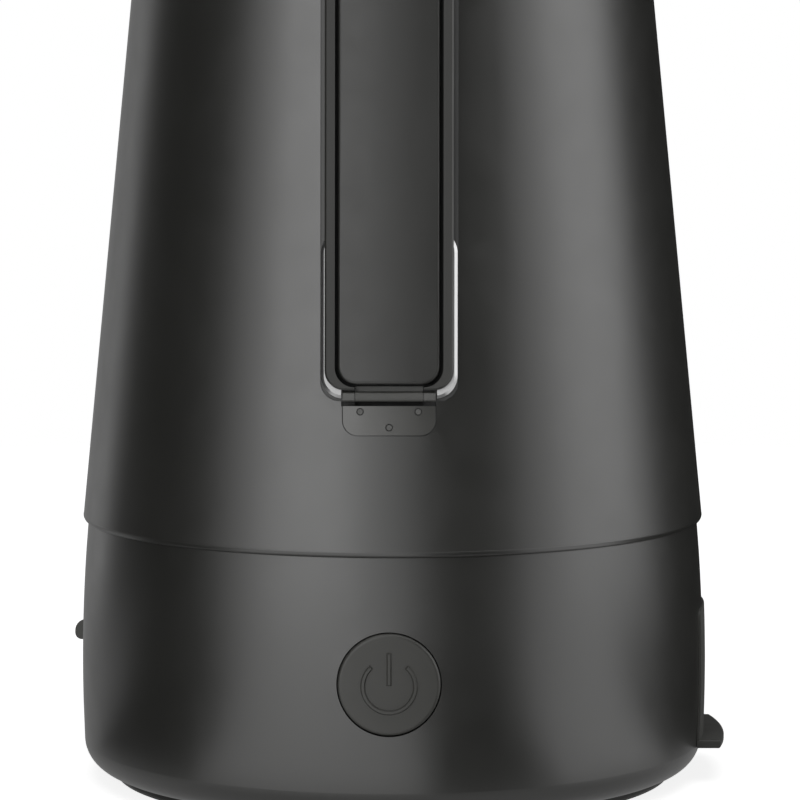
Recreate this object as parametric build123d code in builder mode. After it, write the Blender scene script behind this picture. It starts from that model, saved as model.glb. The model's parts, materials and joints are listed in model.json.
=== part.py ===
"""Cordless electric can opener: a tapered tower on a drum base, with its drive and cutter at the head.

Millimetres. +Z is up, the front faces -Y, and the origin is the centre of the foot on the table.
"""

import os
from math import acos, atan, atan2, cos, pi, radians, sin, sqrt, tan

from build123d import *

# Driving dimensions: drum base
belly_radius = 56.45
belly_z = 19.1
foot_height = 1.5
foot_inset = 5.95
foot_radius = belly_radius - foot_inset
foot_width = 5.2
base_height = 46.45
base_top_inset = 1.25
base_top_radius = belly_radius - base_top_inset
base_fillet = 5.3
base_wall = 2.5
deck_thickness = 2.6
deck_hole_radius = 33.0
plate_thickness = 3.0
plate_inset = 10.15
plate_radius = belly_radius - plate_inset
post_inset = 15.95
post_circle = belly_radius - post_inset
post_radius = 4.2

# Driving dimensions: tower
tower_foot_inset = 0.25
tower_foot_radius = belly_radius - tower_foot_inset
tower_top_radius = 40.5
tower_height = 157.35
tower_wall = 3.2
lip_fillet = 0.95
tower_boss_inset = 10.4
tower_boss_circle = tower_foot_radius - tower_boss_inset
tower_boss_radius = 4.0

# Driving dimensions: front arm and its hinge, measured along the slope of the tower
hinge_rise = 27.0
hinge_lift = 1.0
arm_width = 21.5
arm_length = 86.0
arm_start = 1.05
arm_back = -0.9
arm_front = 2.2
arm_corner = 3.3
arm_border = 1.7
arm_lower_border = 0.45
panel_gap = 0.55
panel_rise = 2.75
shoe_rim = 0.65
shoe_length = 27.8
shoe_drop = 0.35
shoe_front = 0.9
shoe_floor = 0.5
shoe_bevel = 0.5
pocket_gap = 0.15
leaf_width = 15.5
leaf_top = -1.55
leaf_bottom = -6.5
leaf_proud = 0.12
leaf_depth = 0.6
leaf_corner = 2.5
hinge_trough = 1.8
knuckle_half = 0.85
knuckle_round = 0.65
tongue_width = 11.3
tongue_length = 9.5
pin_radius = 0.45
rivet_radius = 0.46
rivet_ring = 0.17
rivet_x = 4.85
rivet_u = -2.55
rivet_low_u = -5.2
catch_radius = 3.0

# Driving dimensions: power button, port cover and reversing slider
button_z = 25.2
button_radius = 8.65
button_gap = 0.2
button_curve = 90.0
button_proud = 0.25
button_round = 0.6
button_travel = 1.2
socket_z = 21.0
cover_width = 26.0
cover_low = 6.05
cover_high = 31.2
cover_proud = 0.45
cover_lip_reach = 4.0
cover_lip_thickness = 1.6
cover_lip_round = 0.5
slider_angle = 146.6
slider_arc = 22.0
slider_travel = 6.0
slider_lip_z = 21.75
slider_lip_height = 3.8
slider_lip_round = 2.2
slider_lip_under = 1.2
slider_plate = 0.5
slider_plate_height = 11.0
slider_neck_height = 6.4

# Driving dimensions: head, drive and cutter; "forward" counts from the axis towards -Y
drive_drop = 18.0
nose_front = 60.0
nose_width = 40.0
nose_drop = 4.5
nose_height = 30.5
nose_wall = 2.5
nose_front_wall = 4.0
nose_screw_x = 13.5
nose_screw_rise = 9.0
face_width = 32.0
face_height = 24.0
face_screw_x = 12.5
face_screw_rise = 7.0
drive_wheel_radius = 10.5
drive_wheel_width = 4.0
screw_sink = 1.8
shaft_radius = 3.0
cutter_radius = 10.0
cutter_thickness = 1.2
cutter_bite = 1.8
lever_width = 30.0
lever_pivot_back = 15.0
lever_pivot_rise = 5.0
lever_tip = 92.0
lever_drop = 2.6
lever_pin_radius = 2.0
lever_pin_half = 24.0
magnet_forward = 84.0
magnet_radius = 6.4
cutter_axle_radius = 1.75
grip_width = 18.0
grip_length = 22.0
grip_forward = 76.0
grip_depth = 0.9
grip_proud = 0.5

# Driving dimensions: battery, board and spring
cell_radius = 9.2
cell_length = 65.0
board_inset = 14.45
board_forward = belly_radius - board_inset
board_low = 9.0
board_width = 32.0
board_thickness = 1.6
board_room = 1.6
spring_wire = 0.3

# Driving dimensions: gear train, with every axis along Y
output_teeth = 28
idler_pinion_teeth = 12
output_module = 1.0
idler_teeth = 36
motor_teeth = 14
motor_module = 0.8
idler_side = -8.0
frame_room = 11.5
gear_space = 14.0
gear_plate = 2.0
gear_plate_width = 37.0
frame_screw_x = 14.5
frame_low_drop = 67.0
frame_high_drop = 7.0
gearbox_radius = 15.5
gearbox_length = 22.0
motor_radius = 14.0
motor_room = 5.6
motor_screw_x = 11.0
motor_shaft_radius = 2.5
idler_axle_radius = 2.0
running_gap = 0.04

# Derived sizes
tower_top_z = base_height + tower_height
hinge_z = base_height + hinge_rise
drive_z = tower_top_z - drive_drop
nose_high = tower_top_z - nose_drop
nose_low = nose_high - nose_height
nose_mid = (nose_high + nose_low) / 2
lever_pivot_z = tower_top_z + lever_pivot_rise
lever_low = tower_top_z - lever_drop
frame_low_z = tower_top_z - frame_low_drop
frame_high_z = tower_top_z - frame_high_drop
front_plate_forward = tower_top_radius - frame_room
rear_plate_forward = front_plate_forward - gear_space - gear_plate
lip_edge = belly_radius + cover_lip_reach
tower_taper = (tower_foot_radius - tower_top_radius) / tower_height
tower_lean = atan(tower_taper)
base_low = foot_height
plate_top = base_low + plate_thickness
deck_low = base_height - deck_thickness
board_height = deck_low - board_room - board_low
belly_curve = (base_height - belly_z) ** 2 / (2 * (belly_radius - base_top_radius))
output_centres = output_module * (output_teeth + idler_pinion_teeth) / 2
motor_centres = motor_module * (idler_teeth + motor_teeth) / 2
idler_z = drive_z - sqrt(output_centres**2 - idler_side**2)
motor_z = idler_z - sqrt(motor_centres**2 - idler_side**2)
wheel_back = nose_front + 2.0
wheel_front = wheel_back + drive_wheel_width
cutter_back = wheel_front + 0.4
cutter_front = cutter_back + cutter_thickness
cutter_z = drive_z + drive_wheel_radius - cutter_bite + cutter_radius
arm_end = arm_length
catch_u = arm_length - 13.0
magnet_low = lever_low - 5.2
magnet_pivot_z = lever_low + 5.1
cell_z = plate_top + 1.5 + cell_radius


def base_radius(z, grow=0.0):
    """Outer radius of the drum at height z."""
    return belly_radius - (z - belly_z) ** 2 / (2 * belly_curve) + grow


def tower_radius(z):
    """Outer radius of the tower at height z."""
    return tower_foot_radius - tower_taper * (z - base_height)


def ahead(forward):
    """Plane facing the front, the given distance ahead of the axis; x is X and y is Z."""
    return Plane.XZ.offset(forward)


def radial_plane(angle):
    """Upright plane through the axis at a polar angle; x runs outward and y is Z."""
    turn = radians(angle)
    return Plane(origin=(0, 0, 0), x_dir=(cos(turn), sin(turn), 0), z_dir=(sin(turn), -cos(turn), 0))


def on_front(rise):
    """Plane on the tower's front generatrix at the hinge, raised by rise; y runs up the slope."""
    outward = (0, -cos(tower_lean), sin(tower_lean))
    start = (0, -tower_radius(hinge_z), hinge_z)
    return Plane(origin=start, x_dir=(1, 0, 0), z_dir=outward).offset(rise)


def gear_points(teeth, module, centre, phase, slack=0.09):
    """Outline of a 20 degree stub gear with its tooth zero at the given phase (radians)."""
    pitch = module * teeth / 2
    base = pitch * cos(radians(20))
    root = pitch - 1.1 * module
    tip = pitch + 0.8 * module
    lean = tan(radians(20)) - radians(20)
    half = pi / (2 * teeth) - slack * module / pitch
    radii = [max(root, base), pitch, tip]
    flank = []
    for radius in radii:
        press = acos(min(1.0, base / radius))
        flank.append((radius, half + lean - (tan(press) - press)))
    if root < base:
        flank.insert(0, (root, flank[0][1]))
    outline = []
    for tooth in range(teeth):
        middle = phase + 2 * pi * tooth / teeth
        for radius, angle in flank:
            outline.append((radius, middle - angle))
        for radius, angle in reversed(flank):
            outline.append((radius, middle + angle))
    return [(centre[0] + r * cos(a), centre[1] + r * sin(a)) for r, a in outline]


def meshed_phase(centre_a, teeth_a, phase_a, centre_b, teeth_b):
    """Phase that puts gear b's tooth in gear a's gap on the line of centres."""
    along = atan2(centre_b[1] - centre_a[1], centre_b[0] - centre_a[0])
    share = (along - phase_a) * teeth_a / (2 * pi)
    return along + pi + (share - 0.5) * 2 * pi / teeth_b


flange_back = base_radius(button_z) - base_wall - 2.9
button_face = base_radius(button_z) + button_proud
drive_centre = (0.0, drive_z)
idler_centre = (idler_side, idler_z)
motor_centre = (0.0, motor_z)
idler_pinion_phase = meshed_phase(drive_centre, output_teeth, 0.0, idler_centre, idler_pinion_teeth)
motor_phase = meshed_phase(idler_centre, idler_teeth, 0.0, motor_centre, motor_teeth)
rivet_points = [(-rivet_x, rivet_u), (rivet_x, rivet_u), (0, rivet_low_u)]
nose_screw_points = [(-nose_screw_x, nose_low + nose_screw_rise), (nose_screw_x, nose_low + nose_screw_rise)]
face_screw_points = [(-face_screw_x, nose_low + face_screw_rise), (face_screw_x, nose_low + face_screw_rise)]
motor_back = tower_radius(motor_z) - tower_wall - motor_room
motor_length = motor_back + rear_plate_forward - gearbox_length
motor_screw_points = [(-motor_screw_x, motor_z), (motor_screw_x, motor_z)]
nose_screw_reach = tower_radius(nose_low + nose_screw_rise) - tower_wall
nose_screw_seat = sqrt(nose_screw_reach**2 - nose_screw_x**2) - 1.6
slider_middle = slider_angle + slider_arc * 0.375
frame_points = [(x, z) for x in (-frame_screw_x, frame_screw_x) for z in (frame_low_z, frame_high_z)]

hinge_section = Plane(origin=on_front(hinge_lift).origin, x_dir=on_front(0).y_dir, z_dir=(1, 0, 0))

# Drum base: shell with deck, spigot, screw posts, board rails and openings
with BuildPart() as base_shell:
    with BuildSketch(Plane.XZ):
        with BuildLine():
            low = (base_radius(base_low), base_low)
            middle_z = (base_low + base_height) / 2
            high = (base_top_radius, base_height)
            ThreePointArc(low, (base_radius(middle_z), middle_z), high)
            Polyline(high, (0, base_height), (0, base_low), low)
        make_face()
    revolve(axis=Axis.Z)
    fillet(base_shell.edges().filter_by(GeomType.CIRCLE).group_by(Axis.Z)[0], base_fillet)
    with BuildSketch(Plane.XZ):
        with BuildLine():
            wall_low = plate_top + base_fillet
            wall_middle = (wall_low + deck_low) / 2
            inner_low = (base_radius(wall_low) - base_wall, wall_low)
            inner_high = (base_radius(deck_low) - base_wall, deck_low)
            ThreePointArc(inner_low, (base_radius(wall_middle) - base_wall, wall_middle), inner_high)
            Polyline(
                inner_high,
                (0, deck_low),
                (0, base_low - 1),
                (plate_radius + 0.2, base_low - 1),
                (plate_radius + 0.2, plate_top),
                inner_low,
            )
        make_face()
    revolve(axis=Axis.Z, mode=Mode.SUBTRACT)
    with BuildSketch(Plane.XY.offset(deck_low - 1)):
        Circle(deck_hole_radius)
    extrude(amount=deck_thickness + 2, mode=Mode.SUBTRACT)
    with BuildSketch(Plane.XZ):
        with BuildLine():
            spigot = tower_foot_radius - tower_wall - 0.2
            rise = 4.5
            Polyline(
                (spigot - 2.3, base_height - 0.5),
                (spigot, base_height - 0.5),
                (spigot, base_height),
                (spigot - tower_taper * rise, base_height + rise),
                (spigot - 2.3, base_height + rise),
                close=True,
            )
        make_face()
    revolve(axis=Axis.Z)
    with BuildSketch(Plane.XY.offset(plate_top)):
        with PolarLocations(post_circle, 4, start_angle=45):
            Circle(post_radius)
    extrude(amount=deck_low - plate_top + 1)
    with BuildSketch(Plane.XY.offset(plate_top + 8)):
        with PolarLocations(post_circle + 7, 4, start_angle=45):
            Rectangle(11.5, 2.4)
    extrude(amount=deck_low - plate_top - 7)
    with BuildSketch(Plane.XY.offset(plate_top)):
        with PolarLocations(post_circle, 4, start_angle=45):
            Circle(1.15)
    extrude(amount=12, mode=Mode.SUBTRACT)
    with BuildSketch(Plane.XY.offset(deck_low - 1)):
        with PolarLocations(tower_boss_circle, 3):
            Circle(1.6)
    extrude(amount=deck_thickness + 2, mode=Mode.SUBTRACT)
    with BuildSketch(Plane.XY.offset(plate_top + 4)):
        rail_x = board_width / 2 + 1
        rail_start = board_forward - 1.5
        rail_end = sqrt((base_top_radius - base_wall / 2) ** 2 - (rail_x + 2) ** 2)
        rail_y = -(rail_start + rail_end) / 2
        with Locations((-rail_x, rail_y), (rail_x, rail_y)):
            Rectangle(4, rail_end - rail_start)
    extrude(amount=deck_low - plate_top - 6.5)
    with BuildSketch(Plane.XY.offset(plate_top + 3)):
        with Locations((0, -board_forward - board_thickness / 2)):
            Rectangle(board_width + 0.6, board_thickness + 0.2)
    extrude(amount=deck_low - plate_top - 4, mode=Mode.SUBTRACT)
    with BuildSketch(ahead(board_forward - 2)):
        with Locations((0, button_z)):
            Circle(button_radius + button_gap)
    extrude(amount=belly_radius - board_forward + 10, mode=Mode.SUBTRACT)
    with BuildSketch(Plane.XY.offset(socket_z - 5.4)):
        with Locations((belly_radius - 9.7, 0)):
            Rectangle(15.4, 16)
    extrude(amount=2)
    with BuildSketch(Plane.YZ.offset(belly_radius - 3.9)):
        with Locations((0, socket_z)):
            RectangleRounded(12.6, 7.6, 2)
    extrude(amount=10, mode=Mode.SUBTRACT)
    with BuildSketch(radial_plane(slider_angle)):
        with Locations((belly_radius - 2.4, slider_lip_z)):
            Rectangle(12, slider_neck_height + 0.6)
    revolve(axis=Axis.Z, revolution_arc=slider_arc * 0.75, mode=Mode.SUBTRACT)
    with BuildSketch(Plane.XY.offset(slider_lip_z - 8)):
        with PolarLocations(belly_radius - 7.4, 1, start_angle=slider_middle):
            Rectangle(10.6, 14)
    extrude(amount=2)

# Closing plate under the base
with BuildPart() as base_plate:
    with BuildSketch(Plane.XY.offset(base_low)):
        Circle(plate_radius)
    extrude(amount=plate_thickness)
    with BuildSketch(Plane.XY.offset(base_low)):
        with PolarLocations(post_circle, 4, start_angle=45):
            Circle(1.6)
    extrude(amount=plate_thickness, mode=Mode.SUBTRACT)
    with BuildSketch(Plane.XY.offset(base_low)):
        with PolarLocations(post_circle, 4, start_angle=45):
            Circle(3.0)
    extrude(amount=1.6, mode=Mode.SUBTRACT)

# Rubber ring that the base stands on
with BuildPart() as foot_ring:
    with BuildSketch(Plane.XY):
        Circle(foot_radius)
        Circle(foot_radius - foot_width, mode=Mode.SUBTRACT)
    extrude(amount=foot_height)

# Screws of the closing plate
with BuildPart() as base_screws:
    with BuildSketch(Plane.XY.offset(base_low + 0.1)):
        with PolarLocations(post_circle, 4, start_angle=45):
            Circle(2.7)
    extrude(amount=1.5)
    with BuildSketch(Plane.XY.offset(base_low + 1.6)):
        with PolarLocations(post_circle, 4, start_angle=45):
            Circle(1.1)
    extrude(amount=12)
    with BuildSketch(Plane.XY.offset(base_low)):
        with PolarLocations(post_circle, 4, start_angle=45):
            Rectangle(3.2, 0.7)
            Rectangle(0.7, 3.2)
    extrude(amount=0.9, mode=Mode.SUBTRACT)

# Outline of the hinge leaf as a patch of the tower's skin, and the seat it is let into
with BuildPart() as hinge_leaf:
    with BuildSketch(Plane.XZ):
        with BuildLine():
            patch_low = hinge_z + leaf_bottom - 4
            patch_high = hinge_z + 4
            Polyline(
                (tower_radius(patch_low) - leaf_depth, patch_low),
                (tower_radius(patch_low) + leaf_proud, patch_low),
                (tower_radius(patch_high) + leaf_proud, patch_high),
                (tower_radius(patch_high) - leaf_depth, patch_high),
                close=True,
            )
        make_face()
    revolve(axis=Axis.Z)
    with BuildSketch(on_front(-4)):
        with Locations((0, (leaf_top + leaf_bottom) / 2)):
            leaf_plan = Rectangle(leaf_width, leaf_top - leaf_bottom)
        fillet(leaf_plan.vertices().group_by(Axis.Y)[0], leaf_corner)
    extrude(amount=10, mode=Mode.INTERSECT)
    end_knuckle = (leaf_width - tongue_width) / 2 - 0.1
    end_knuckle_x = leaf_width / 2 - end_knuckle / 2
    for side in (-1, 1):
        with BuildSketch(on_front(-leaf_depth - 0.3)):
            with Locations((side * end_knuckle_x, leaf_top / 2 - 0.35)):
                Rectangle(end_knuckle, -leaf_top + 0.7)
        extrude(amount=0.4)
        with BuildSketch(on_front(-leaf_depth - 0.3)):
            with Locations((side * end_knuckle_x, -knuckle_half / 2 + 0.05)):
                Rectangle(end_knuckle, knuckle_half - 0.1)
        extrude(amount=hinge_lift + 0.15)
        with BuildSketch(hinge_section.offset(side * end_knuckle_x - end_knuckle / 2)):
            RectangleRounded(2 * knuckle_half, 2 * knuckle_half, knuckle_round)
        extrude(amount=end_knuckle)
    with Locations(on_front(hinge_lift).location):
        Cylinder(pin_radius, leaf_width + 1, rotation=(0, 90, 0), mode=Mode.SUBTRACT)
    with Locations(*[on_front(-3).location * Location((x, u, 0)) for x, u in rivet_points]):
        Cylinder(rivet_radius + rivet_ring, 12, mode=Mode.SUBTRACT)

with BuildPart() as leaf_seat:
    with BuildSketch(Plane.XZ):
        with BuildLine():
            Polyline(
                (tower_radius(patch_low) - leaf_depth - 0.05, patch_low),
                (tower_radius(patch_low) + 3, patch_low),
                (tower_radius(patch_high) + 3, patch_high),
                (tower_radius(patch_high) - leaf_depth - 0.05, patch_high),
                close=True,
            )
        make_face()
    revolve(axis=Axis.Z)
    with BuildSketch(on_front(-4)):
        with Locations((0, (leaf_top + leaf_bottom) / 2)):
            seat_plan = Rectangle(leaf_width + 0.3, leaf_top - leaf_bottom + 0.3)
        fillet(seat_plan.vertices().group_by(Axis.Y)[0], leaf_corner + 0.15)
    extrude(amount=10, mode=Mode.INTERSECT)

# Tapered tower in one piece, with the arm's flat pocket, bosses and openings
with BuildPart() as tower_shell:
    with BuildSketch(Plane.XZ):
        with BuildLine():
            Polyline(
                (tower_foot_radius - tower_wall, base_height),
                (tower_foot_radius, base_height),
                (tower_top_radius, tower_top_z),
                (tower_top_radius - tower_wall, tower_top_z),
                close=True,
            )
        make_face()
    revolve(axis=Axis.Z)
    rim = tower_shell.edges().filter_by(GeomType.CIRCLE).group_by(Axis.Z)[0].sort_by(SortBy.RADIUS)[-1]
    fillet(rim, lip_fillet)
    with BuildSketch(Plane.XY.offset(base_height)):
        with PolarLocations(tower_boss_circle, 3):
            Circle(tower_boss_radius)
    extrude(amount=19)
    with BuildSketch(Plane.XY.offset(base_height + 6)):
        with PolarLocations(tower_boss_circle + 4, 3):
            Rectangle(7.4, 3)
    extrude(amount=13)
    with BuildSketch(Plane.XY.offset(base_height)):
        with PolarLocations(tower_boss_circle, 3):
            Circle(1.25)
    extrude(amount=14, mode=Mode.SUBTRACT)
    for x, z in frame_points:
        reach = sqrt((tower_radius(z) - tower_wall) ** 2 - x**2) + 1
        boss_start = front_plate_forward + gear_plate
        with BuildSketch(ahead(boss_start)):
            with Locations((x, z)):
                Circle(3.2)
        extrude(amount=reach - boss_start)
        with BuildSketch(ahead(boss_start)):
            with Locations((x, z)):
                Circle(1.25)
        extrude(amount=reach - boss_start - 0.4, mode=Mode.SUBTRACT)
    with BuildSketch(ahead(20)):
        with Locations((0, drive_z)):
            Circle(shaft_radius + 4)
        with Locations(*nose_screw_points):
            Circle(1.6)
    extrude(amount=30, mode=Mode.SUBTRACT)
    pocket_floor = arm_back - shoe_floor - 0.3
    pocket_width = arm_width + 2 * shoe_rim + 2 * pocket_gap
    pocket_low = -shoe_drop - 0.45
    with BuildSketch(on_front(pocket_floor)):
        with Locations((0, (arm_end + 0.6 + pocket_low) / 2)):
            RectangleRounded(pocket_width, arm_end + 0.6 - pocket_low, arm_corner)
    extrude(amount=9, mode=Mode.SUBTRACT)
    with BuildSketch(on_front(-hinge_trough)):
        with Locations((0, (leaf_top - 0.1) / 2)):
            Rectangle(leaf_width + 0.6, -leaf_top + 0.1)
    extrude(amount=6, mode=Mode.SUBTRACT)
    add(leaf_seat.part, mode=Mode.SUBTRACT)
    with Locations(*[on_front(0).location * Location((x, u, 0)) for x, u in rivet_points]):
        Cylinder(rivet_radius, 5.6, mode=Mode.SUBTRACT)
        Cylinder(rivet_radius + rivet_ring, 2 * leaf_depth + 2, mode=Mode.SUBTRACT)
    with Locations(on_front(15.6).location * Location((0, arm_end + 2, 0))):
        Sphere(18, mode=Mode.SUBTRACT)
    with BuildSketch(on_front(pocket_floor - 0.7)):
        with Locations((0, catch_u)):
            Circle(catch_radius + 0.05)
    extrude(amount=1, mode=Mode.SUBTRACT)

# Screws that hold the tower down to the base deck
with BuildPart() as tower_screws:
    with BuildSketch(Plane.XY.offset(deck_low - 2)):
        with PolarLocations(tower_boss_circle, 3):
            Circle(2.8)
    extrude(amount=2)
    with BuildSketch(Plane.XY.offset(deck_low)):
        with PolarLocations(tower_boss_circle, 3):
            Circle(1.2)
    extrude(amount=deck_thickness + 12)

# Three flush rivets of the hinge leaf
with BuildPart() as leaf_rivets:
    for x, u in rivet_points:
        sag = x**2 / (2 * tower_radius(hinge_z))
        with BuildSketch(on_front(-2.6)):
            with Locations((x, u)):
                Circle(rivet_radius)
        extrude(amount=2.6 - sag + leaf_proud + 0.16)

# Pin of the front hinge
with BuildPart() as hinge_pin:
    with Locations(on_front(hinge_lift).location):
        Cylinder(pin_radius, leaf_width - 0.2, rotation=(0, 90, 0))

# Steel disc let into the pocket for the arm's magnet
with BuildPart() as catch_plate:
    with BuildSketch(on_front(pocket_floor - 0.7)):
        with Locations((0, catch_u)):
            Circle(catch_radius)
    extrude(amount=0.7)

# Front arm: flat frame with a recess for its panel
with BuildPart() as rest_arm:
    with BuildSketch(on_front(arm_back)):
        with Locations((0, (arm_start + arm_end) / 2)):
            RectangleRounded(arm_width, arm_end - arm_start, arm_corner)
    extrude(amount=arm_front - arm_back)
    chamfer(rest_arm.faces().sort_by(Axis.Y)[0].edges(), 0.3)
    recess_width = arm_width - 2 * arm_border
    recess_low = arm_start + arm_lower_border
    recess_high = arm_end - arm_border
    with BuildSketch(on_front(0.6)):
        with Locations((0, (recess_low + recess_high) / 2)):
            RectangleRounded(recess_width, recess_high - recess_low, arm_corner)
    extrude(amount=5, mode=Mode.SUBTRACT)
    with BuildSketch(on_front(arm_back)):
        with Locations((0, recess_low / 2)):
            Rectangle(tongue_width + 0.2, recess_low + 0.4)
    extrude(amount=6, mode=Mode.SUBTRACT)
    with BuildSketch(on_front(arm_back)):
        with Locations((0, tongue_length / 2)):
            Rectangle(tongue_width + 0.2, tongue_length + 0.1)
    extrude(amount=1, mode=Mode.SUBTRACT)
    with BuildSketch(on_front(arm_back)):
        with Locations((0, catch_u)):
            Circle(catch_radius + 0.02)
    extrude(amount=1.1, mode=Mode.SUBTRACT)

# Raised panel let into the arm, curved with the tower
with BuildPart() as arm_panel:
    panel_low = recess_low + 0.5
    panel_high = recess_high - 0.5
    with BuildSketch(on_front(0.6)):
        with Locations((0, (panel_low + panel_high) / 2)):
            RectangleRounded(recess_width - 2 * panel_gap, panel_high - panel_low, arm_corner - 0.3)
    extrude(amount=6)
    with BuildSketch(Plane.XZ):
        with BuildLine():
            Polyline(
                (0, base_height),
                (tower_foot_radius + panel_rise, base_height),
                (tower_top_radius + panel_rise, tower_top_z),
                (0, tower_top_z),
                close=True,
            )
        make_face()
    revolve(axis=Axis.Z, mode=Mode.INTERSECT)
    fillet(arm_panel.faces().sort_by(Axis.Y)[0].edges(), 0.6)

# Steel shoe wrapped round the arm's lower end
with BuildPart() as arm_shoe:
    shoe_low = -shoe_drop
    with BuildSketch(on_front(arm_back - shoe_floor)):
        with Locations((0, (shoe_low + shoe_length) / 2)):
            RectangleRounded(arm_width + 2 * shoe_rim, shoe_length - shoe_low, arm_corner + 0.5)
    extrude(amount=shoe_front - arm_back + shoe_floor)
    chamfer(arm_shoe.faces().sort_by(Axis.Y)[0].edges(), shoe_bevel)
    with BuildSketch(on_front(arm_back)):
        with Locations((0, arm_start + shoe_length)):
            RectangleRounded(arm_width + 0.04, 2 * shoe_length, arm_corner)
    extrude(amount=6, mode=Mode.SUBTRACT)
    with BuildSketch(on_front(arm_back - 2)):
        with Locations((0, arm_start - 2.3)):
            Rectangle(leaf_width + 0.5, 5)
        with Locations((0, arm_start)):
            Rectangle(tongue_width + 1, 5)
    extrude(amount=6, mode=Mode.SUBTRACT)

# Moving half of the hinge: knuckle and tongue
with BuildPart() as hinge_tongue:
    with BuildSketch(on_front(arm_back)):
        with Locations((0, (tongue_length - 0.3) / 2)):
            Rectangle(tongue_width, tongue_length + 0.3)
    extrude(amount=0.98)
    with BuildSketch(hinge_section.offset(-tongue_width / 2)):
        RectangleRounded(2 * knuckle_half, 2 * knuckle_half, knuckle_round)
    extrude(amount=tongue_width)
    with BuildSketch(on_front(arm_back)):
        with Locations((0, knuckle_half / 2)):
            Rectangle(tongue_width, knuckle_half)
    extrude(amount=hinge_lift - arm_back)
    with Locations(on_front(hinge_lift).location):
        Cylinder(pin_radius + running_gap, leaf_width, rotation=(0, 90, 0), mode=Mode.SUBTRACT)

# Magnet at the arm's free end
with BuildPart() as catch_magnet:
    with BuildSketch(on_front(arm_back)):
        with Locations((0, catch_u)):
            Circle(catch_radius)
    extrude(amount=1.0)

# Nose that carries the drive wheel, seated on the tower's front
with BuildPart() as nose_housing:
    nose_back = tower_top_radius - 12.5
    with BuildSketch(ahead(nose_back)):
        with Locations((0, nose_mid)):
            RectangleRounded(nose_width, nose_height, 7)
    extrude(amount=nose_front - nose_back)
    fillet(nose_housing.faces().sort_by(Axis.Y)[0].edges(), 2)
    with BuildSketch(ahead(nose_back - 1)):
        with Locations((0, nose_mid)):
            RectangleRounded(nose_width - 2 * nose_wall, nose_height - 2 * nose_wall, 5)
    extrude(amount=nose_front - nose_front_wall - nose_back + 1, mode=Mode.SUBTRACT)
    with BuildSketch(ahead(nose_back)):
        with Locations(*nose_screw_points):
            Circle(3.4)
    extrude(amount=nose_front - nose_front_wall - nose_back)
    with BuildSketch(Plane.XZ):
        with BuildLine():
            Polyline(
                (0, base_height),
                (tower_foot_radius, base_height),
                (tower_top_radius, tower_top_z),
                (0, tower_top_z),
                close=True,
            )
        make_face()
    revolve(axis=Axis.Z, mode=Mode.SUBTRACT)
    with BuildSketch(ahead(nose_screw_seat)):
        with Locations(*nose_screw_points):
            Circle(1.25)
    extrude(amount=17, mode=Mode.SUBTRACT)
    with BuildSketch(ahead(nose_front - 0.8)):
        with Locations((0, nose_mid)):
            RectangleRounded(face_width + 0.1, face_height + 0.1, 4)
    extrude(amount=2, mode=Mode.SUBTRACT)
    with BuildSketch(ahead(nose_front - nose_front_wall - 1)):
        with Locations((0, drive_z)):
            Circle(shaft_radius + 2)
        with Locations(*face_screw_points):
            Circle(0.9)
    extrude(amount=8, mode=Mode.SUBTRACT)

# Screws that hold the nose from inside the tower
with BuildPart() as nose_screws:
    with BuildSketch(ahead(nose_screw_seat - 2)):
        with Locations(*nose_screw_points):
            Circle(2.6)
    extrude(amount=2)
    with BuildSketch(ahead(nose_screw_seat)):
        with Locations(*nose_screw_points):
            Circle(1.2)
    extrude(amount=14)

# Steel plate on the nose
with BuildPart() as face_plate:
    with BuildSketch(ahead(nose_front - 0.8)):
        with Locations((0, nose_mid)):
            RectangleRounded(face_width, face_height, 4)
        with Locations((0, drive_z)):
            Circle(shaft_radius + 2, mode=Mode.SUBTRACT)
        with Locations(*face_screw_points):
            Circle(1.0, mode=Mode.SUBTRACT)
    extrude(amount=1.2)

with BuildPart() as face_screws:
    with BuildSketch(ahead(nose_front - 3)):
        with Locations(*face_screw_points):
            Circle(0.88)
    extrude(amount=3.4)
    with BuildSketch(ahead(nose_front + 0.4)):
        with Locations(*face_screw_points):
            Circle(1.9)
    extrude(amount=1.0)
    with BuildSketch(ahead(nose_front + 0.9)):
        with Locations(*face_screw_points):
            Rectangle(2.4, 0.6)
            Rectangle(0.6, 2.4)
    extrude(amount=1.0, mode=Mode.SUBTRACT)

# Flanged bearing of the drive shaft
with BuildPart() as drive_bush:
    with BuildSketch(ahead(nose_front - nose_front_wall - 0.5)):
        with Locations((0, drive_z)):
            Circle(shaft_radius + 2)
    extrude(amount=nose_front_wall + 0.9)
    with BuildSketch(ahead(nose_front + 0.4)):
        with Locations((0, drive_z)):
            Circle(shaft_radius + 3.4)
    extrude(amount=0.8)
    with BuildSketch(ahead(nose_front - nose_front_wall - 2)):
        with Locations((0, drive_z)):
            Circle(shaft_radius + running_gap)
    extrude(amount=10, mode=Mode.SUBTRACT)

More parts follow.
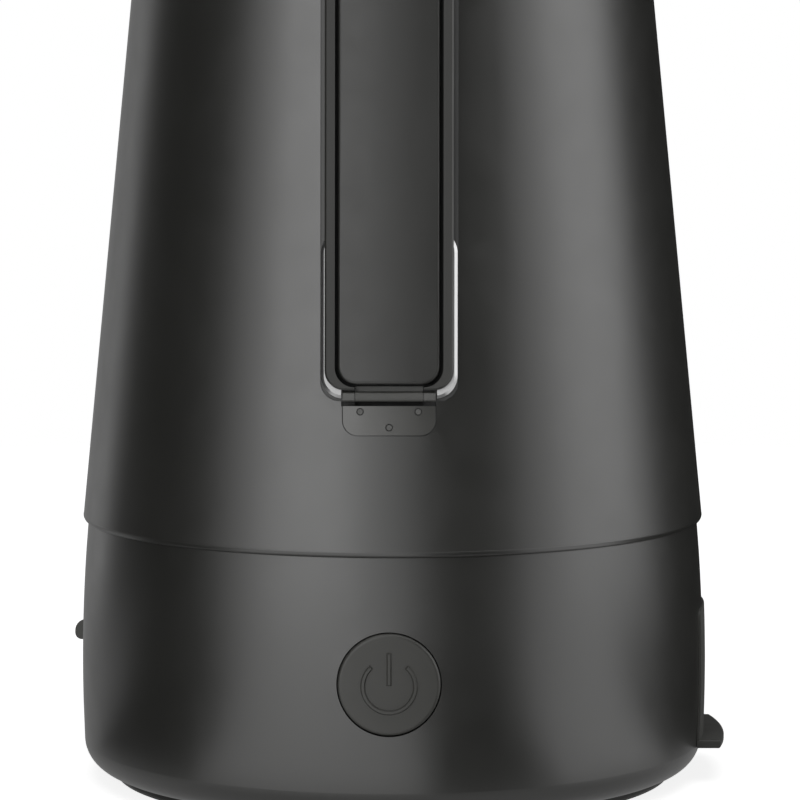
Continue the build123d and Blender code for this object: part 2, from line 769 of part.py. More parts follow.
# Crown with the slot and pin bore of the lever
with BuildPart() as top_cap:
    cap_floor = tower_top_z - 0.4
    with BuildSketch(Plane.XZ):
        with BuildLine():
            shoulder = (tower_radius(tower_top_z + 6), tower_top_z + 6)
            crown = (0, tower_top_z + 10.5)
            ThreePointArc(crown, (shoulder[0] * 0.6, tower_top_z + 9.2), shoulder)
            Polyline(
                shoulder,
                (tower_top_radius, tower_top_z),
                (tower_top_radius - tower_wall - 0.3, tower_top_z),
                (tower_top_radius - tower_wall - 0.3, tower_top_z - 2.1),
                (0, tower_top_z - 2.1),
                crown,
            )
        make_face()
    revolve(axis=Axis.Z)
    edge_low = tower_top_z + 5.9
    fillet(top_cap.edges().filter_by_position(Axis.Z, edge_low, edge_low + 0.2), 3)
    slot_back = lever_pivot_back + 6
    with BuildSketch(Plane.XY.offset(cap_floor)):
        with Locations((0, (slot_back - nose_front) / 2)):
            Rectangle(lever_width + 1, slot_back + nose_front)
    extrude(amount=30, mode=Mode.SUBTRACT)
    with BuildSketch(Plane.YZ.offset(-lever_pin_half)):
        with Locations((lever_pivot_back, lever_pivot_z)):
            Circle(lever_pin_radius)
    extrude(amount=2 * lever_pin_half, mode=Mode.SUBTRACT)
    saddle_length = lever_pin_half - lever_width / 2 - 0.5
    saddle_x = lever_pin_half - saddle_length / 2
    with BuildSketch(Plane.XY.offset(tower_top_z - 2.1)):
        with Locations((-saddle_x, lever_pivot_back), (saddle_x, lever_pivot_back)):
            Rectangle(saddle_length, 2 * lever_pin_radius)
    extrude(amount=lever_pivot_z - tower_top_z + 2.1, mode=Mode.SUBTRACT)

with BuildPart() as lever_pin:
    with BuildSketch(Plane.YZ.offset(-lever_pin_half)):
        with Locations((lever_pivot_back, lever_pivot_z)):
            Circle(lever_pin_radius)
    extrude(amount=2 * lever_pin_half)

# Gear frame: two plates, spacers, screws and the idler's axle
with BuildPart() as gear_plate_rear:
    plate_low_z = frame_low_z - 5.5
    plate_high_z = tower_top_z - 2.6
    with BuildSketch(ahead(rear_plate_forward)):
        with Locations((0, (plate_low_z + plate_high_z) / 2)):
            RectangleRounded(gear_plate_width, plate_high_z - plate_low_z, 4)
        with Locations(*frame_points):
            Circle(1.4, mode=Mode.SUBTRACT)
        with Locations(drive_centre):
            Circle(shaft_radius + running_gap, mode=Mode.SUBTRACT)
        with Locations(idler_centre):
            Circle(idler_axle_radius, mode=Mode.SUBTRACT)
        with Locations(motor_centre):
            Circle(6, mode=Mode.SUBTRACT)
        with Locations(*motor_screw_points):
            Circle(1.4, mode=Mode.SUBTRACT)
    extrude(amount=gear_plate)

with BuildPart() as gear_plate_front:
    with BuildSketch(ahead(front_plate_forward)):
        with Locations((0, (plate_low_z + plate_high_z) / 2)):
            RectangleRounded(gear_plate_width, plate_high_z - plate_low_z, 4)
        with Locations(*frame_points):
            Circle(1.4, mode=Mode.SUBTRACT)
        with Locations(drive_centre):
            Circle(shaft_radius + 1, mode=Mode.SUBTRACT)
        with Locations(idler_centre):
            Circle(idler_axle_radius, mode=Mode.SUBTRACT)
    extrude(amount=gear_plate)

with BuildPart() as gear_pillars:
    with BuildSketch(ahead(rear_plate_forward + gear_plate)):
        with Locations(*frame_points):
            Circle(2.6)
            Circle(1.4, mode=Mode.SUBTRACT)
    extrude(amount=front_plate_forward - rear_plate_forward - gear_plate)

with BuildPart() as frame_screws:
    with BuildSketch(ahead(rear_plate_forward - 2)):
        with Locations(*frame_points):
            Circle(2.4)
    extrude(amount=2)
    with BuildSketch(ahead(rear_plate_forward)):
        with Locations(*frame_points):
            Circle(1.2)
    extrude(amount=front_plate_forward + gear_plate + 4 - rear_plate_forward)

with BuildPart() as idler_axle:
    with BuildSketch(ahead(rear_plate_forward)):
        with Locations(idler_centre):
            Circle(idler_axle_radius)
    extrude(amount=front_plate_forward + gear_plate - rear_plate_forward)

# Gearmotor behind the rear plate
with BuildPart() as gearmotor:
    with BuildSketch(ahead(rear_plate_forward)):
        with Locations(motor_centre):
            Circle(gearbox_radius)
    extrude(amount=-gearbox_length)
    with BuildSketch(ahead(rear_plate_forward)):
        with Locations(motor_centre):
            Circle(5.9)
    extrude(amount=gear_plate)
    with BuildSketch(ahead(rear_plate_forward - gearbox_length)):
        with Locations(motor_centre):
            Circle(motor_radius)
    extrude(amount=-motor_length)
    with BuildSketch(ahead(rear_plate_forward + gear_plate)):
        with Locations(motor_centre):
            Circle(motor_shaft_radius + running_gap)
    extrude(amount=-10, mode=Mode.SUBTRACT)
    with BuildSketch(ahead(rear_plate_forward)):
        with Locations(*motor_screw_points):
            Circle(1.25)
    extrude(amount=-6, mode=Mode.SUBTRACT)

with BuildPart() as motor_end:
    with BuildSketch(ahead(rear_plate_forward - gearbox_length - motor_length)):
        with Locations(motor_centre):
            Circle(7)
        with Locations((-4, motor_z), (4, motor_z)):
            Rectangle(0.8, 3, mode=Mode.SUBTRACT)
    extrude(amount=-2.5)

with BuildPart() as motor_screws:
    with BuildSketch(ahead(rear_plate_forward - 5)):
        with Locations(*motor_screw_points):
            Circle(1.2)
    extrude(amount=5 + gear_plate)
    with BuildSketch(ahead(rear_plate_forward + gear_plate)):
        with Locations(*motor_screw_points):
            Circle(2.2)
    extrude(amount=1.3)

with BuildPart() as motor_shaft:
    with BuildSketch(ahead(rear_plate_forward + gear_plate - 9)):
        with Locations(motor_centre):
            Circle(motor_shaft_radius)
    extrude(amount=15)

# Gears: motor pinion, idler with its own pinion, output gear
first_layer = rear_plate_forward + gear_plate + 1.6
second_layer = first_layer + 5.6

with BuildPart() as motor_pinion:
    with BuildSketch(ahead(first_layer - 0.2)):
        with BuildLine():
            Polyline(gear_points(motor_teeth, motor_module, motor_centre, motor_phase), close=True)
        make_face()
        with Locations(motor_centre):
            Circle(motor_shaft_radius, mode=Mode.SUBTRACT)
    extrude(amount=4.2)

with BuildPart() as idler_gear:
    with BuildSketch(ahead(first_layer)):
        with BuildLine():
            Polyline(gear_points(idler_teeth, motor_module, idler_centre, 0.0), close=True)
        make_face()
    extrude(amount=3.8)
    with BuildSketch(ahead(first_layer + 3.8)):
        with BuildLine():
            pinion_line = gear_points(idler_pinion_teeth, output_module, idler_centre, idler_pinion_phase)
            Polyline(pinion_line, close=True)
        make_face()
    extrude(amount=7)
    with BuildSketch(ahead(first_layer)):
        with Locations(idler_centre):
            Circle(idler_axle_radius + running_gap)
    extrude(amount=20, mode=Mode.SUBTRACT)

with BuildPart() as output_gear:
    with BuildSketch(ahead(second_layer)):
        with BuildLine():
            Polyline(gear_points(output_teeth, output_module, drive_centre, 0.0), close=True)
        make_face()
    extrude(amount=4.6)
    with BuildSketch(ahead(second_layer + 4.6)):
        with Locations(drive_centre):
            Circle(shaft_radius + 2.5)
    extrude(amount=1.6)
    with BuildSketch(ahead(second_layer)):
        with Locations(drive_centre):
            Circle(shaft_radius)
    extrude(amount=10, mode=Mode.SUBTRACT)

# Drive shaft, serrated drive wheel and its screw
with BuildPart() as drive_shaft:
    with BuildSketch(ahead(rear_plate_forward)):
        with Locations(drive_centre):
            Circle(shaft_radius)
    extrude(amount=wheel_front - screw_sink - rear_plate_forward)
    with BuildSketch(ahead(wheel_front - 9)):
        with Locations(drive_centre):
            Circle(1.5)
    extrude(amount=9, mode=Mode.SUBTRACT)

with BuildPart() as drive_wheel:
    serrations = 30
    with BuildSketch(ahead(wheel_back)):
        with BuildLine():
            teeth_line = []
            for step in range(2 * serrations):
                reach = drive_wheel_radius if step % 2 == 0 else drive_wheel_radius - 0.8
                turn = pi * step / serrations
                teeth_line.append((reach * cos(turn), drive_z + reach * sin(turn)))
            Polyline(teeth_line, close=True)
        make_face()
    extrude(amount=drive_wheel_width)
    with BuildSketch(ahead(nose_front + 1.4)):
        with Locations(drive_centre):
            Circle(shaft_radius + 2)
    extrude(amount=1)
    with BuildSketch(ahead(nose_front + 1)):
        with Locations(drive_centre):
            Circle(shaft_radius)
    extrude(amount=10, mode=Mode.SUBTRACT)
    with BuildSketch(ahead(wheel_front - screw_sink)):
        with Locations(drive_centre):
            Circle(4.3)
    extrude(amount=5, mode=Mode.SUBTRACT)

with BuildPart() as drive_screw:
    with BuildSketch(ahead(wheel_front - screw_sink)):
        with Locations(drive_centre):
            Circle(4.2)
    extrude(amount=screw_sink - 0.1)
    with BuildSketch(ahead(wheel_front - 8)):
        with Locations(drive_centre):
            Circle(1.5)
    extrude(amount=8 - screw_sink)
    with BuildSketch(ahead(wheel_front - 1)):
        with Locations(drive_centre):
            RegularPolygon(1.9, 6)
    extrude(amount=2, mode=Mode.SUBTRACT)

# Seat of the soft grip in the lever's crest
with BuildPart() as grip_seat:
    top_back = (lever_pivot_back, lever_pivot_z + 4.8)
    top_middle = (-55, lever_pivot_z + 10)
    top_tip = (-lever_tip, lever_pivot_z + 4)
    step_forward = cutter_front + 5
    with BuildSketch(Plane.YZ):
        with BuildLine():
            ThreePointArc(
                (top_back[0], top_back[1] - grip_depth),
                (top_middle[0], top_middle[1] - grip_depth),
                (top_tip[0], top_tip[1] - grip_depth),
            )
            Polyline(
                (top_tip[0], top_tip[1] - grip_depth),
                (top_tip[0], top_tip[1] + 20),
                (top_back[0], top_tip[1] + 20),
                (top_back[0], top_back[1] - grip_depth),
            )
        make_face()
    extrude(amount=lever_width / 2, both=True)
    with BuildSketch(Plane.XY.offset(lever_low)):
        with Locations((0, -grip_forward)):
            RectangleRounded(grip_width + 0.1, grip_length + 0.1, 5)
    extrude(amount=60, mode=Mode.INTERSECT)

# Top lever that carries the cutter and the lid magnet
with BuildPart() as cutter_lever:
    with BuildSketch(Plane.YZ):
        with BuildLine():
            ThreePointArc(top_back, top_middle, top_tip)
            Polyline(
                top_tip,
                (-lever_tip - 1.5, lever_pivot_z + 1),
                (-lever_tip + 1, lever_low + 3.2),
                (-step_forward - 1, lever_low + 3.2),
                (-step_forward, lever_low),
                (-nose_front + 14, lever_low),
                (-nose_front + 16.5, lever_pivot_z - 3),
                (lever_pivot_back, lever_pivot_z - 3),
                top_back,
            )
        make_face()
        with Locations((lever_pivot_back, lever_pivot_z)):
            Circle(4.8)
    extrude(amount=lever_width / 2, both=True)
    with BuildSketch(Plane.XY.offset(lever_low - 5)):
        with Locations((0, (lever_pivot_back + 5 - lever_tip - 2) / 2)):
            lever_plan = Rectangle(lever_width, lever_pivot_back + 5 + lever_tip + 2)
        fillet(lever_plan.vertices().group_by(Axis.Y)[0], 11)
    extrude(amount=40, mode=Mode.INTERSECT)
    crest = cutter_lever.faces().filter_by(GeomType.CYLINDER).sort_by(SortBy.AREA)[-1]
    fillet(crest.edges().filter_by(GeomType.LINE, reverse=True), 2.4)
    with BuildSketch(ahead(cutter_back - 0.3)):
        with Locations((0, cutter_z)):
            Circle(cutter_radius + 0.5)
        with Locations((0, lever_low)):
            Rectangle(2 * cutter_radius + 1, 2 * (cutter_z - lever_low))
    extrude(amount=cutter_thickness + 0.6, mode=Mode.SUBTRACT)
    with BuildSketch(Plane.YZ.offset(-3.4)):
        with Locations((-magnet_forward - 4, lever_low + 3.4)):
            Rectangle(16, 10.4)
    extrude(amount=6.8, mode=Mode.SUBTRACT)
    with BuildSketch(ahead(wheel_back)):
        with Locations((0, cutter_z)):
            Circle(cutter_axle_radius)
    extrude(amount=step_forward - wheel_back - 0.6, mode=Mode.SUBTRACT)
    with BuildSketch(Plane.YZ.offset(-9)):
        with Locations((-magnet_forward, magnet_pivot_z)):
            Circle(1.2)
    extrude(amount=40, mode=Mode.SUBTRACT)
    with BuildSketch(Plane.YZ.offset(-30)):
        with Locations((lever_pivot_back, lever_pivot_z)):
            Circle(lever_pin_radius + running_gap)
    extrude(amount=60, mode=Mode.SUBTRACT)
    add(grip_seat.part, mode=Mode.SUBTRACT)

# Soft grip on the lever
with BuildPart() as lever_grip:
    with BuildSketch(Plane.YZ):
        with BuildLine():
            ThreePointArc(
                (top_back[0], top_back[1] - grip_depth),
                (top_middle[0], top_middle[1] - grip_depth),
                (top_tip[0], top_tip[1] - grip_depth),
            )
            Line((top_tip[0], top_tip[1] - grip_depth), (top_tip[0], top_tip[1] + grip_proud))
            ThreePointArc(
                (top_tip[0], top_tip[1] + grip_proud),
                (top_middle[0], top_middle[1] + grip_proud),
                (top_back[0], top_back[1] + grip_proud),
            )
            Line((top_back[0], top_back[1] + grip_proud), (top_back[0], top_back[1] - grip_depth))
        make_face()
    extrude(amount=lever_width / 2, both=True)
    with BuildSketch(Plane.XY.offset(lever_low)):
        with Locations((0, -grip_forward)):
            RectangleRounded(grip_width, grip_length, 5)
    extrude(amount=40, mode=Mode.INTERSECT)

# Cutter wheel, sharp on the side of the drive wheel, and its axle
with BuildPart() as cutter_wheel:
    with BuildSketch(ahead(cutter_back)):
        with Locations((0, cutter_z)):
            Circle(cutter_radius)
    extrude(amount=cutter_thickness)
    bevel_edge = cutter_wheel.edges().filter_by(GeomType.CIRCLE).group_by(Axis.Y)[0]
    chamfer(bevel_edge, length=cutter_thickness - 0.1, length2=1.9)
    with BuildSketch(ahead(cutter_back)):
        with Locations((0, cutter_z)):
            Circle(cutter_axle_radius + running_gap)
    extrude(amount=cutter_thickness, mode=Mode.SUBTRACT)

with BuildPart() as cutter_axle:
    with BuildSketch(ahead(wheel_back)):
        with Locations((0, cutter_z)):
            Circle(cutter_axle_radius)
    extrude(amount=step_forward - wheel_back - 0.6)

# Lid magnet in a holder that swings under the lever's tip
with BuildPart() as magnet_holder:
    with BuildSketch(Plane.YZ):
        with Locations((-magnet_forward, magnet_pivot_z)):
            Circle(3)
        with Locations((-magnet_forward, (magnet_pivot_z + magnet_low + 2) / 2)):
            Rectangle(6, magnet_pivot_z - magnet_low - 2)
    extrude(amount=3, both=True)
    with BuildSketch(Plane.XY.offset(magnet_low + 0.8)):
        with Locations((0, -magnet_forward)):
            Circle(magnet_radius + 1.1)
    extrude(amount=3)
    with BuildSketch(Plane.XY.offset(magnet_low)):
        with Locations((0, -magnet_forward)):
            Circle(magnet_radius)
    extrude(amount=3, mode=Mode.SUBTRACT)
    with BuildSketch(Plane.YZ.offset(-5)):
        with Locations((-magnet_forward, magnet_pivot_z)):
            Circle(1.2 + running_gap)
    extrude(amount=10, mode=Mode.SUBTRACT)

with BuildPart() as lid_magnet:
    with BuildSketch(Plane.XY.offset(magnet_low)):
        with Locations((0, -magnet_forward)):
            Circle(magnet_radius)
    extrude(amount=3)

with BuildPart() as magnet_pin:
    with BuildSketch(Plane.YZ.offset(-9)):
        with Locations((-magnet_forward, magnet_pivot_z)):
            Circle(1.2)
    extrude(amount=18)

# Battery: two cells in a cradle on the closing plate
with BuildPart() as battery_cradle:
    with BuildSketch(Plane.XY.offset(plate_top)):
        RectangleRounded(cell_length + 6, 4 * cell_radius + 4, 3)
    extrude(amount=8)
    with BuildSketch(Plane.YZ.offset(-cell_length / 2 - 0.2)):
        with Locations((-cell_radius - 0.4, cell_z), (cell_radius + 0.4, cell_z)):
            Circle(cell_radius + 0.1)
    extrude(amount=cell_length + 0.4, mode=Mode.SUBTRACT)

with BuildPart() as battery_cells:
    with BuildSketch(Plane.YZ.offset(-cell_length / 2)):
        with Locations((-cell_radius - 0.4, cell_z), (cell_radius + 0.4, cell_z)):
            Circle(cell_radius)
    extrude(amount=cell_length)

# Control board behind the button, with its switch and the return spring
with BuildPart() as control_board:
    with BuildSketch(ahead(board_forward)):
        with Locations((0, board_low + board_height / 2)):
            Rectangle(board_width, board_height)
    extrude(amount=board_thickness)

with BuildPart() as tact_switch:
    with BuildSketch(ahead(board_forward + board_thickness)):
        with Locations((0, button_z)):
            Rectangle(6, 6)
    extrude(amount=2)
    with BuildSketch(ahead(board_forward + board_thickness + 2)):
        with Locations((0, button_z)):
            Circle(1.75)
    extrude(amount=1)

with BuildPart() as button_spring:
    spring_start = board_forward + board_thickness + spring_wire + 0.05
    spring_length = flange_back - spring_start - spring_wire - 0.05
    with BuildLine():
        spring_seat = (0, -spring_start, button_z)
        coil = Helix(spring_length / 4, spring_length, 5.2, center=spring_seat, direction=(0, -1, 0))
    with BuildSketch(Plane(origin=coil @ 0, z_dir=coil % 0)):
        Circle(spring_wire)
    sweep(path=coil, is_frenet=True)

# Power button: shallow curved face, collar and stem
with BuildPart() as power_button:
    with BuildSketch(ahead(flange_back)):
        with Locations((0, button_z)):
            Circle(button_radius)
    extrude(amount=8)
    with BuildSketch(Plane.XY.offset(button_z - 20)):
        with Locations((0, -button_face + button_curve)):
            Circle(button_curve)
    extrude(amount=40, mode=Mode.INTERSECT)
    fillet(power_button.faces().sort_by(Axis.Y)[0].edges(), button_round)
    with BuildSketch(ahead(flange_back)):
        with Locations((0, button_z)):
            Circle(button_radius + 1.1)
    extrude(amount=1.0)
    stem_end = board_forward + board_thickness + 3.3 + button_travel
    with BuildSketch(ahead(stem_end)):
        with Locations((0, button_z)):
            Circle(2)
    extrude(amount=flange_back - stem_end)

# Charging socket on its own small board
with BuildPart() as charge_board:
    with BuildSketch(Plane.XY.offset(socket_z - 3.4)):
        with Locations((belly_radius - 10.9, 0)):
            Rectangle(13, 15)
    extrude(amount=1.4)

with BuildPart() as charge_socket:
    with BuildSketch(Plane.YZ.offset(belly_radius - 11.4)):
        with Locations((0, socket_z - 2 + 1.65)):
            RectangleRounded(9, 3.3, 1.1)
    extrude(amount=7.6)
    with BuildSketch(Plane.YZ.offset(belly_radius - 9.4)):
        with Locations((0, socket_z - 2 + 1.65)):
            RectangleRounded(8.3, 2.6, 0.9)
            Rectangle(6.6, 0.7, mode=Mode.SUBTRACT)
    extrude(amount=7.6, mode=Mode.SUBTRACT)

# Pull lip at the foot of the port cover
with BuildPart() as cover_lip:
    with BuildSketch(Plane.XY.offset(cover_low)):
        Circle(lip_edge)
        with Locations((lip_edge, 0)):
            lip_plan = Rectangle(4 * cover_lip_reach, cover_width, mode=Mode.INTERSECT)
        fillet(lip_plan.vertices().group_by(Axis.X)[-1], cover_lip_reach * 0.9)
        Circle(base_radius(cover_low + cover_lip_thickness, 0.06), mode=Mode.SUBTRACT)
    extrude(amount=cover_lip_thickness)
    for level in (0, -1):
        outline = cover_lip.faces().filter_by(Axis.Z).sort_by(Axis.Z)[level].edges()
        inner_arc = outline.filter_by(GeomType.CIRCLE).sort_by(SortBy.RADIUS)[-2]
        fillet(outline - ShapeList([inner_arc]), cover_lip_round)

# Rubber port cover: pad on the skin of the drum, plug and pull lip
with BuildPart() as port_cover:
    with BuildSketch(Plane.XZ):
        with BuildLine():
            skin = 0.04
            outer = skin + cover_proud
            low_z = base_low
            mid_z = (base_low + base_height) / 2
            ThreePointArc(
                (base_radius(low_z, skin), low_z),
                (base_radius(mid_z, skin), mid_z),
                (base_radius(base_height, skin), base_height),
            )
            Line((base_radius(base_height, skin), base_height), (base_radius(base_height, outer), base_height))
            ThreePointArc(
                (base_radius(base_height, outer), base_height),
                (base_radius(mid_z, outer), mid_z),
                (base_radius(low_z, outer), low_z),
            )
            Line((base_radius(low_z, outer), low_z), (base_radius(low_z, skin), low_z))
        make_face()
    revolve(axis=Axis.Z)
    with BuildSketch(Plane.YZ.offset(belly_radius / 2)):
        with Locations((0, (cover_low + cover_high) / 2)):
            RectangleRounded(cover_width, cover_high - cover_low, 2)
    extrude(amount=40, mode=Mode.INTERSECT)
    add(cover_lip.part)
    plug_end = belly_radius - 3.0
    with BuildSketch(Plane.YZ.offset(plug_end)):
        with Locations((0, socket_z)):
            RectangleRounded(11.4, 6.2, 1.6)
    extrude(amount=base_radius(socket_z, 0.2) - plug_end)

# Reversing slider: outer plate with thumb lip, neck through the slot, inner flange
with BuildPart() as reverse_slider:
    slot_end = slider_angle + slider_arc * 0.75
    neck_arc = slider_arc * 0.75 - slider_travel - 0.8
    neck_angle = slot_end - 0.4 - neck_arc
    plate_inner = belly_radius + 0.06
    neck_reach = base_wall + 0.96
    with BuildSketch(radial_plane(slider_angle - 0.5)):
        with Locations((plate_inner + slider_plate / 2, slider_lip_z)):
            Rectangle(slider_plate, slider_plate_height)
    revolve(axis=Axis.Z, revolution_arc=slider_arc + 0.5)
    with BuildSketch(radial_plane(neck_angle)):
        with Locations((plate_inner - neck_reach / 2, slider_lip_z)):
            Rectangle(neck_reach + 0.4, slider_neck_height)
        with Locations((plate_inner - neck_reach - 0.25, slider_lip_z)):
            Rectangle(0.9, slider_neck_height + 3.2)
    revolve(axis=Axis.Z, revolution_arc=neck_arc)
    with BuildSketch(radial_plane(slider_angle)) as ridge_plan:
        ridge_start = plate_inner + slider_plate / 2
        with Locations(((ridge_start + lip_edge) / 2, slider_lip_z + slider_lip_height / 2)):
            ridge = Rectangle(lip_edge - ridge_start, slider_lip_height)
        fillet(ridge.vertices().group_by(Axis.Y)[-1].sort_by(Axis.X)[-1], slider_lip_round)
        fillet(ridge_plan.vertices().group_by(Axis.Y)[0].sort_by(Axis.X)[-1], slider_lip_under)
    revolve(axis=Axis.Z, revolution_arc=slider_arc)

# Switch that the slider works
with BuildPart() as slide_switch:
    with BuildSketch(Plane.XY.offset(slider_lip_z - 6)):
        with PolarLocations(belly_radius - 9.4, 1, start_angle=slider_middle):
            Rectangle(6, 10)
    extrude(amount=8)

parts_list = {
    "base_shell": base_shell,
    "base_plate": base_plate,
    "foot_ring": foot_ring,
    "base_screws": base_screws,
    "tower_shell": tower_shell,
    "tower_screws": tower_screws,
    "hinge_leaf": hinge_leaf,
    "leaf_rivets": leaf_rivets,
    "hinge_pin": hinge_pin,
    "catch_plate": catch_plate,
    "rest_arm": rest_arm,
    "arm_panel": arm_panel,
    "arm_shoe": arm_shoe,
    "hinge_tongue": hinge_tongue,
    "catch_magnet": catch_magnet,
    "nose_housing": nose_housing,
    "nose_screws": nose_screws,
    "face_plate": face_plate,
    "face_screws": face_screws,
    "drive_bush": drive_bush,
    "top_cap": top_cap,
    "lever_pin": lever_pin,
    "gear_plate_rear": gear_plate_rear,
    "gear_plate_front": gear_plate_front,
    "gear_pillars": gear_pillars,
    "frame_screws": frame_screws,
    "idler_axle": idler_axle,
    "gearmotor": gearmotor,
    "motor_end": motor_end,
    "motor_screws": motor_screws,
    "motor_shaft": motor_shaft,
    "motor_pinion": motor_pinion,
    "idler_gear": idler_gear,
    "output_gear": output_gear,
    "drive_shaft": drive_shaft,
    "drive_wheel": drive_wheel,
    "drive_screw": drive_screw,
    "cutter_lever": cutter_lever,
    "lever_grip": lever_grip,
    "cutter_wheel": cutter_wheel,
    "cutter_axle": cutter_axle,
    "magnet_holder": magnet_holder,
    "lid_magnet": lid_magnet,
    "magnet_pin": magnet_pin,
    "battery_cradle": battery_cradle,
    "battery_cells": battery_cells,
    "control_board": control_board,
    "tact_switch": tact_switch,
    "button_spring": button_spring,
    "power_button": power_button,
    "charge_board": charge_board,
    "charge_socket": charge_socket,
    "port_cover": port_cover,
    "reverse_slider": reverse_slider,
    "slide_switch": slide_switch,
}
os.makedirs("parts", exist_ok=True)
for name, piece in parts_list.items():
    piece.part.label = name
    export_step(piece.part, f"parts/{name}.step")
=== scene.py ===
import bmesh
import bpy
import json
import math
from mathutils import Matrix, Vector


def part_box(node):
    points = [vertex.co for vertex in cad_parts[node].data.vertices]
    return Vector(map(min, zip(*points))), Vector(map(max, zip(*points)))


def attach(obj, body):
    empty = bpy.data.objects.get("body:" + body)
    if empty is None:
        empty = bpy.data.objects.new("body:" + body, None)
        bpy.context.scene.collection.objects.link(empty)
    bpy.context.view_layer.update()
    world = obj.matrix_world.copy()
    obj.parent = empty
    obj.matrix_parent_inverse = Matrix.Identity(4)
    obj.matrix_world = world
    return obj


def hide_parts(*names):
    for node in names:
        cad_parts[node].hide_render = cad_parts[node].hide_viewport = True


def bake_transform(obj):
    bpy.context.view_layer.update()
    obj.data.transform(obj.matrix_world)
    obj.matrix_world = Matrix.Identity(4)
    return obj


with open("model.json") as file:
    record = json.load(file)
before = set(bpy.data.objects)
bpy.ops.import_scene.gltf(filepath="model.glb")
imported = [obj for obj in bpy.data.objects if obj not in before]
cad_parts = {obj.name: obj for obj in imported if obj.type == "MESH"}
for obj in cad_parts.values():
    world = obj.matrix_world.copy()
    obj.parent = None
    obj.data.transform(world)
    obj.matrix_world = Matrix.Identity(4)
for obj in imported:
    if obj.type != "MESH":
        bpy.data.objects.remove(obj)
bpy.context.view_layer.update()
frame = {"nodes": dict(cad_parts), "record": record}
nodes = frame["nodes"]
record = frame["record"]
scene = bpy.context.scene
scene.view_settings.view_transform = "Standard"

mm = 0.001

# Camera: distance from the axis, height, pitch and turn round the object
camera_distance = 660 * mm
camera_height = 131.8 * mm
camera_pitch = math.radians(5.55)
camera_turn = math.radians(0.62)
camera_clip = (0.05, 50.0)
focal_pixels = 3650.0
axis_pixels_left = 7.4
image_pixels = 800.0
sensor_width = 36.0

# Power symbol, raised on the button's face
symbol_radius = 4.42 * mm
symbol_gap = math.radians(41)
symbol_width = 0.84 * mm
symbol_height = 0.40 * mm
symbol_bevel = 0.22 * mm
symbol_root = 0.1 * mm
symbol_drop = 0.25 * mm
symbol_steps = 72
bar_top = 5.75 * mm
bar_end = 0.1 * mm
button_curve = 90 * mm

# Lip at the tower's foot: centre and radius of its rounding, the degrees it spans, the skin on it
lip_centre = (55.15 * mm, 47.40 * mm)
lip_radius = 0.95 * mm
lip_start, lip_end = -80, 6
lip_skin = 0.012 * mm
lip_steps = 16
lip_segments = 360
lip_inside = [(55.7 * mm, 47.7 * mm), (55.2 * mm, 46.6 * mm)]

# Sunk places at the front that get painted shade, measured from the hinge pin: levels along the
# front's normal, rises along its slope
bed_levels = (0.7 * mm, 1.0 * mm)
bed_floor = -0.6 * mm
bed_rises = (-5.0 * mm, 100.0 * mm)
bed_half_width = 9.2 * mm
gap_levels = (-0.75 * mm, -0.55 * mm)
gap_floor = -4.0 * mm
gap_rises = (-1.62 * mm, -0.8 * mm)
gap_half_width = 7.85 * mm
# Painted shade: the near-black tone and roughness laid on the sunk places
painted_shade_tone = (0.003, 0.003, 0.003, 1)
painted_shade_rough = 0.9
tower_taper = 0.0998
tower_lean = math.atan(tower_taper)
joints = record["behaviour"]["joints"]
arm_fold = next(joint for joint in joints if joint["name"] == "arm_fold")
hinge_point = Vector(arm_fold["pos_m"])
front_normal = Vector((0, -math.cos(tower_lean), math.sin(tower_lean)))
front_slope = Vector((0, math.sin(tower_lean), math.cos(tower_lean)))

# Noise of the finishes: the span of values in use, and the detail of mottling, smudges and grain
noise_span = (0.3, 0.7)
mottle_detail = 4.0
smudge_detail = 5.0
smudge_scale = 2.7
grain_detail = 2.0
bump_strength = 0.5

# Sockets of a Mix node: first value, second value and result
mix_sockets = {"FLOAT": (2, 3, 0), "RGBA": (6, 7, 2)}


def wire(tree, source, target):
    tree.links.new(source, target)


def noise(tree, coords, scale, detail, stretch):
    """Noise texture in object space; scale is in cells per metre."""
    texture = tree.nodes.new("ShaderNodeTexNoise")
    texture.inputs["Scale"].default_value = scale
    texture.inputs["Detail"].default_value = detail
    if stretch:
        mapping = tree.nodes.new("ShaderNodeMapping")
        mapping.inputs["Scale"].default_value = stretch
        wire(tree, coords, mapping.inputs["Vector"])
        coords = mapping.outputs["Vector"]
    wire(tree, coords, texture.inputs["Vector"])
    return texture.outputs["Fac"]


def map_range(tree, value, from_low, from_high, to_low, to_high):
    mapper = tree.nodes.new("ShaderNodeMapRange")
    mapper.inputs["From Min"].default_value = from_low
    mapper.inputs["From Max"].default_value = from_high
    mapper.inputs["To Min"].default_value = to_low
    mapper.inputs["To Max"].default_value = to_high
    wire(tree, value, mapper.inputs["Value"])
    return mapper.outputs["Result"]


def math_node(tree, operation, first, second=None, constant=None):
    node = tree.nodes.new("ShaderNodeMath")
    node.operation = operation
    wire(tree, first, node.inputs[0])
    if second:
        wire(tree, second, node.inputs[1])
    if constant is not None:
        node.inputs[1].default_value = constant
    return node.outputs[0]


def mix_node(tree, data_type, share):
    """Mix by a share; gives the sockets of the first value, the second value and the result."""
    node = tree.nodes.new("ShaderNodeMix")
    node.data_type = data_type
    wire(tree, share, node.inputs[0])
    first, second, result = mix_sockets[data_type]
    return node.inputs[first], node.inputs[second], node.outputs[result]


def new_material(name):
    """Node material, with its tree and its shader."""
    material = bpy.data.materials.new(name)
    material.use_nodes = True
    tree = material.node_tree
    return material, tree, tree.nodes["Principled BSDF"]


def new_object(name, data):
    """Object in the scene's collection."""
    made = bpy.data.objects.new(name, data)
    scene.collection.objects.link(made)
    return made


def grey(value, blue=0.9):
    """Grey with the slight warmth of the plastic."""
    return (value, value, value * blue)


def metal(value):
    """Grey of a metal, with its full blue."""
    return grey(value, blue=1.0)


